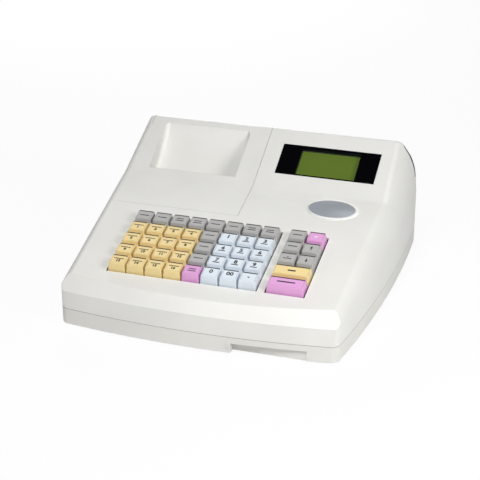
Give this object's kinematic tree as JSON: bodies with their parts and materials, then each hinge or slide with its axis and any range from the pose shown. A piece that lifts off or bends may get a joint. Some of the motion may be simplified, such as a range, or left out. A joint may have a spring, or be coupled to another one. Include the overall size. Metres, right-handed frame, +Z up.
{
  "type": "cash register",
  "caption": "Electronic cash register head unit with a sloping colour-coded keyboard, a hooded display and a hinged receipt printer cover with a finger scoop.",
  "frame": {"origin": "centre of the footprint on the resting surface, below the rubber feet", "axes": "+X to the operator's right, +Y to the back of the register, +Z up; the keyboard faces -Y"},
  "size_m": [0.314, 0.312, 0.1262],
  "materials": {
    "base_plastic": "fine texture",
    "foot_rubber": "matte",
    "case_plastic": "fine texture",
    "hood_plastic": "fine texture",
    "cover_plastic": "fine texture",
    "window_acrylic": "gloss",
    "display_panel": "satin",
    "rear_window_acrylic": "gloss",
    "frame_plastic": "matte",
    "printer_metal": "satin",
    "roller_rubber": "matte",
    "badge_metal": "satin",
    "key_grey": "satin",
    "key_yellow": "satin",
    "key_blue": "satin",
    "key_pink": "satin"
  },
  "bodies": {
    "housing": {"base_tray": "base_plastic", "feet": "foot_rubber", "upper_case": "case_plastic", "display_hood": "hood_plastic", "display_window": "window_acrylic", "display_unit": "display_panel", "customer_window": "rear_window_acrylic", "key_frame": "frame_plastic", "printer_frame": "printer_metal", "badge": "badge_metal"},
    "cover": {"printer_cover": "cover_plastic"},
    "roller": {"platen_roller": "roller_rubber"},
    "key_a1_body": {"key_a1": "key_grey"},
    "key_a2_body": {"key_a2": "key_grey"},
    "key_a3_body": {"key_a3": "key_grey"},
    "key_a4_body": {"key_a4": "key_grey"},
    "key_a5_body": {"key_a5": "key_grey"},
    "key_a6_body": {"key_a6": "key_grey"},
    "key_a7_body": {"key_a7": "key_grey"},
    "key_a8_body": {"key_a8": "key_grey"},
    "key_b1_body": {"key_b1": "key_yellow"},
    "key_b2_body": {"key_b2": "key_yellow"},
    "key_b3_body": {"key_b3": "key_yellow"},
    "key_b4_body": {"key_b4": "key_yellow"},
    "key_b5_body": {"key_b5": "key_grey"},
    "key_b6_body": {"key_b6": "key_blue"},
    "key_b7_body": {"key_b7": "key_blue"},
    "key_b8_body": {"key_b8": "key_blue"},
    "key_c1_body": {"key_c1": "key_yellow"},
    "key_c2_body": {"key_c2": "key_yellow"},
    "key_c3_body": {"key_c3": "key_yellow"},
    "key_c4_body": {"key_c4": "key_yellow"},
    "key_c5_body": {"key_c5": "key_grey"},
    "key_c6_body": {"key_c6": "key_blue"},
    "key_c7_body": {"key_c7": "key_blue"},
    "key_c8_body": {"key_c8": "key_blue"},
    "key_d1_body": {"key_d1": "key_yellow"},
    "key_d2_body": {"key_d2": "key_yellow"},
    "key_d3_body": {"key_d3": "key_yellow"},
    "key_d4_body": {"key_d4": "key_yellow"},
    "key_d5_body": {"key_d5": "key_grey"},
    "key_d6_body": {"key_d6": "key_blue"},
    "key_d7_body": {"key_d7": "key_blue"},
    "key_d8_body": {"key_d8": "key_blue"},
    "key_e1_body": {"key_e1": "key_yellow"},
    "key_e2_body": {"key_e2": "key_yellow"},
    "key_e3_body": {"key_e3": "key_yellow"},
    "key_e4_body": {"key_e4": "key_yellow"},
    "key_e5_body": {"key_e5": "key_pink"},
    "key_e6_body": {"key_e6": "key_blue"},
    "key_e7_body": {"key_e7": "key_blue"},
    "key_e8_body": {"key_e8": "key_blue"},
    "key_a9_body": {"key_a9": "key_grey"},
    "key_a10_body": {"key_a10": "key_pink"},
    "key_b9_body": {"key_b9": "key_grey"},
    "key_b10_body": {"key_b10": "key_grey"},
    "key_c9_body": {"key_c9": "key_grey"},
    "key_c10_body": {"key_c10": "key_grey"},
    "key_d9_body": {"key_d9": "key_yellow"},
    "key_e9_body": {"key_e9": "key_pink"}
  },
  "joints": [
    {"name": "cover_hinge", "type": "hinge", "parent": "housing", "child": "cover", "pos_m": [-0.067, 0.1189, 0.12024], "axis": [-1, 0, 0], "range_deg": [0, 85]},
    {"name": "roller_turn", "type": "hinge", "parent": "housing", "child": "roller", "pos_m": [-0.0715, 0.0475, 0.058], "axis": [1, 0, 0], "continuous": true},
    {"name": "key_a1_press", "type": "slide", "parent": "housing", "child": "key_a1_body", "axis": [0, 0.2106, -0.9776], "range_m": [0, 0.0035], "stiffness_N_per_m": 150, "springref_m": -0.002},
    {"name": "key_a2_press", "type": "slide", "parent": "housing", "child": "key_a2_body", "axis": [0, 0.2106, -0.9776], "range_m": [0, 0.0035], "stiffness_N_per_m": 150, "springref_m": -0.002},
    {"name": "key_a3_press", "type": "slide", "parent": "housing", "child": "key_a3_body", "axis": [0, 0.2106, -0.9776], "range_m": [0, 0.0035], "stiffness_N_per_m": 150, "springref_m": -0.002},
    {"name": "key_a4_press", "type": "slide", "parent": "housing", "child": "key_a4_body", "axis": [0, 0.2106, -0.9776], "range_m": [0, 0.0035], "stiffness_N_per_m": 150, "springref_m": -0.002},
    {"name": "key_a5_press", "type": "slide", "parent": "housing", "child": "key_a5_body", "axis": [0, 0.2106, -0.9776], "range_m": [0, 0.0035], "stiffness_N_per_m": 150, "springref_m": -0.002},
    {"name": "key_a6_press", "type": "slide", "parent": "housing", "child": "key_a6_body", "axis": [0, 0.2106, -0.9776], "range_m": [0, 0.0035], "stiffness_N_per_m": 150, "springref_m": -0.002},
    {"name": "key_a7_press", "type": "slide", "parent": "housing", "child": "key_a7_body", "axis": [0, 0.2106, -0.9776], "range_m": [0, 0.0035], "stiffness_N_per_m": 150, "springref_m": -0.002},
    {"name": "key_a8_press", "type": "slide", "parent": "housing", "child": "key_a8_body", "axis": [0, 0.2106, -0.9776], "range_m": [0, 0.0035], "stiffness_N_per_m": 150, "springref_m": -0.002},
    {"name": "key_b1_press", "type": "slide", "parent": "housing", "child": "key_b1_body", "axis": [0, 0.2106, -0.9776], "range_m": [0, 0.0035], "stiffness_N_per_m": 150, "springref_m": -0.002},
    {"name": "key_b2_press", "type": "slide", "parent": "housing", "child": "key_b2_body", "axis": [0, 0.2106, -0.9776], "range_m": [0, 0.0035], "stiffness_N_per_m": 150, "springref_m": -0.002},
    {"name": "key_b3_press", "type": "slide", "parent": "housing", "child": "key_b3_body", "axis": [0, 0.2106, -0.9776], "range_m": [0, 0.0035], "stiffness_N_per_m": 150, "springref_m": -0.002},
    {"name": "key_b4_press", "type": "slide", "parent": "housing", "child": "key_b4_body", "axis": [0, 0.2106, -0.9776], "range_m": [0, 0.0035], "stiffness_N_per_m": 150, "springref_m": -0.002},
    {"name": "key_b5_press", "type": "slide", "parent": "housing", "child": "key_b5_body", "axis": [0, 0.2106, -0.9776], "range_m": [0, 0.0035], "stiffness_N_per_m": 150, "springref_m": -0.002},
    {"name": "key_b6_press", "type": "slide", "parent": "housing", "child": "key_b6_body", "axis": [0, 0.2106, -0.9776], "range_m": [0, 0.0035], "stiffness_N_per_m": 150, "springref_m": -0.002},
    {"name": "key_b7_press", "type": "slide", "parent": "housing", "child": "key_b7_body", "axis": [0, 0.2106, -0.9776], "range_m": [0, 0.0035], "stiffness_N_per_m": 150, "springref_m": -0.002},
    {"name": "key_b8_press", "type": "slide", "parent": "housing", "child": "key_b8_body", "axis": [0, 0.2106, -0.9776], "range_m": [0, 0.0035], "stiffness_N_per_m": 150, "springref_m": -0.002},
    {"name": "key_c1_press", "type": "slide", "parent": "housing", "child": "key_c1_body", "axis": [0, 0.2106, -0.9776], "range_m": [0, 0.0035], "stiffness_N_per_m": 150, "springref_m": -0.002},
    {"name": "key_c2_press", "type": "slide", "parent": "housing", "child": "key_c2_body", "axis": [0, 0.2106, -0.9776], "range_m": [0, 0.0035], "stiffness_N_per_m": 150, "springref_m": -0.002},
    {"name": "key_c3_press", "type": "slide", "parent": "housing", "child": "key_c3_body", "axis": [0, 0.2106, -0.9776], "range_m": [0, 0.0035], "stiffness_N_per_m": 150, "springref_m": -0.002},
    {"name": "key_c4_press", "type": "slide", "parent": "housing", "child": "key_c4_body", "axis": [0, 0.2106, -0.9776], "range_m": [0, 0.0035], "stiffness_N_per_m": 150, "springref_m": -0.002},
    {"name": "key_c5_press", "type": "slide", "parent": "housing", "child": "key_c5_body", "axis": [0, 0.2106, -0.9776], "range_m": [0, 0.0035], "stiffness_N_per_m": 150, "springref_m": -0.002},
    {"name": "key_c6_press", "type": "slide", "parent": "housing", "child": "key_c6_body", "axis": [0, 0.2106, -0.9776], "range_m": [0, 0.0035], "stiffness_N_per_m": 150, "springref_m": -0.002},
    {"name": "key_c7_press", "type": "slide", "parent": "housing", "child": "key_c7_body", "axis": [0, 0.2106, -0.9776], "range_m": [0, 0.0035], "stiffness_N_per_m": 150, "springref_m": -0.002},
    {"name": "key_c8_press", "type": "slide", "parent": "housing", "child": "key_c8_body", "axis": [0, 0.2106, -0.9776], "range_m": [0, 0.0035], "stiffness_N_per_m": 150, "springref_m": -0.002},
    {"name": "key_d1_press", "type": "slide", "parent": "housing", "child": "key_d1_body", "axis": [0, 0.2106, -0.9776], "range_m": [0, 0.0035], "stiffness_N_per_m": 150, "springref_m": -0.002},
    {"name": "key_d2_press", "type": "slide", "parent": "housing", "child": "key_d2_body", "axis": [0, 0.2106, -0.9776], "range_m": [0, 0.0035], "stiffness_N_per_m": 150, "springref_m": -0.002},
    {"name": "key_d3_press", "type": "slide", "parent": "housing", "child": "key_d3_body", "axis": [0, 0.2106, -0.9776], "range_m": [0, 0.0035], "stiffness_N_per_m": 150, "springref_m": -0.002},
    {"name": "key_d4_press", "type": "slide", "parent": "housing", "child": "key_d4_body", "axis": [0, 0.2106, -0.9776], "range_m": [0, 0.0035], "stiffness_N_per_m": 150, "springref_m": -0.002},
    {"name": "key_d5_press", "type": "slide", "parent": "housing", "child": "key_d5_body", "axis": [0, 0.2106, -0.9776], "range_m": [0, 0.0035], "stiffness_N_per_m": 150, "springref_m": -0.002},
    {"name": "key_d6_press", "type": "slide", "parent": "housing", "child": "key_d6_body", "axis": [0, 0.2106, -0.9776], "range_m": [0, 0.0035], "stiffness_N_per_m": 150, "springref_m": -0.002},
    {"name": "key_d7_press", "type": "slide", "parent": "housing", "child": "key_d7_body", "axis": [0, 0.2106, -0.9776], "range_m": [0, 0.0035], "stiffness_N_per_m": 150, "springref_m": -0.002},
    {"name": "key_d8_press", "type": "slide", "parent": "housing", "child": "key_d8_body", "axis": [0, 0.2106, -0.9776], "range_m": [0, 0.0035], "stiffness_N_per_m": 150, "springref_m": -0.002},
    {"name": "key_e1_press", "type": "slide", "parent": "housing", "child": "key_e1_body", "axis": [0, 0.2106, -0.9776], "range_m": [0, 0.0035], "stiffness_N_per_m": 150, "springref_m": -0.002},
    {"name": "key_e2_press", "type": "slide", "parent": "housing", "child": "key_e2_body", "axis": [0, 0.2106, -0.9776], "range_m": [0, 0.0035], "stiffness_N_per_m": 150, "springref_m": -0.002},
    {"name": "key_e3_press", "type": "slide", "parent": "housing", "child": "key_e3_body", "axis": [0, 0.2106, -0.9776], "range_m": [0, 0.0035], "stiffness_N_per_m": 150, "springref_m": -0.002},
    {"name": "key_e4_press", "type": "slide", "parent": "housing", "child": "key_e4_body", "axis": [0, 0.2106, -0.9776], "range_m": [0, 0.0035], "stiffness_N_per_m": 150, "springref_m": -0.002},
    {"name": "key_e5_press", "type": "slide", "parent": "housing", "child": "key_e5_body", "axis": [0, 0.2106, -0.9776], "range_m": [0, 0.0035], "stiffness_N_per_m": 150, "springref_m": -0.002},
    {"name": "key_e6_press", "type": "slide", "parent": "housing", "child": "key_e6_body", "axis": [0, 0.2106, -0.9776], "range_m": [0, 0.0035], "stiffness_N_per_m": 150, "springref_m": -0.002},
    {"name": "key_e7_press", "type": "slide", "parent": "housing", "child": "key_e7_body", "axis": [0, 0.2106, -0.9776], "range_m": [0, 0.0035], "stiffness_N_per_m": 150, "springref_m": -0.002},
    {"name": "key_e8_press", "type": "slide", "parent": "housing", "child": "key_e8_body", "axis": [0, 0.2106, -0.9776], "range_m": [0, 0.0035], "stiffness_N_per_m": 150, "springref_m": -0.002},
    {"name": "key_a9_press", "type": "slide", "parent": "housing", "child": "key_a9_body", "axis": [0, 0.2106, -0.9776], "range_m": [0, 0.0035], "stiffness_N_per_m": 150, "springref_m": -0.002},
    {"name": "key_a10_press", "type": "slide", "parent": "housing", "child": "key_a10_body", "axis": [0, 0.2106, -0.9776], "range_m": [0, 0.0035], "stiffness_N_per_m": 150, "springref_m": -0.002},
    {"name": "key_b9_press", "type": "slide", "parent": "housing", "child": "key_b9_body", "axis": [0, 0.2106, -0.9776], "range_m": [0, 0.0035], "stiffness_N_per_m": 150, "springref_m": -0.002},
    {"name": "key_b10_press", "type": "slide", "parent": "housing", "child": "key_b10_body", "axis": [0, 0.2106, -0.9776], "range_m": [0, 0.0035], "stiffness_N_per_m": 150, "springref_m": -0.002},
    {"name": "key_c9_press", "type": "slide", "parent": "housing", "child": "key_c9_body", "axis": [0, 0.2106, -0.9776], "range_m": [0, 0.0035], "stiffness_N_per_m": 150, "springref_m": -0.002},
    {"name": "key_c10_press", "type": "slide", "parent": "housing", "child": "key_c10_body", "axis": [0, 0.2106, -0.9776], "range_m": [0, 0.0035], "stiffness_N_per_m": 150, "springref_m": -0.002},
    {"name": "key_d9_press", "type": "slide", "parent": "housing", "child": "key_d9_body", "axis": [0, 0.2106, -0.9776], "range_m": [0, 0.0035], "stiffness_N_per_m": 150, "springref_m": -0.002},
    {"name": "key_e9_press", "type": "slide", "parent": "housing", "child": "key_e9_body", "axis": [0, 0.2106, -0.9776], "range_m": [0, 0.0035], "stiffness_N_per_m": 150, "springref_m": -0.002}
  ]
}
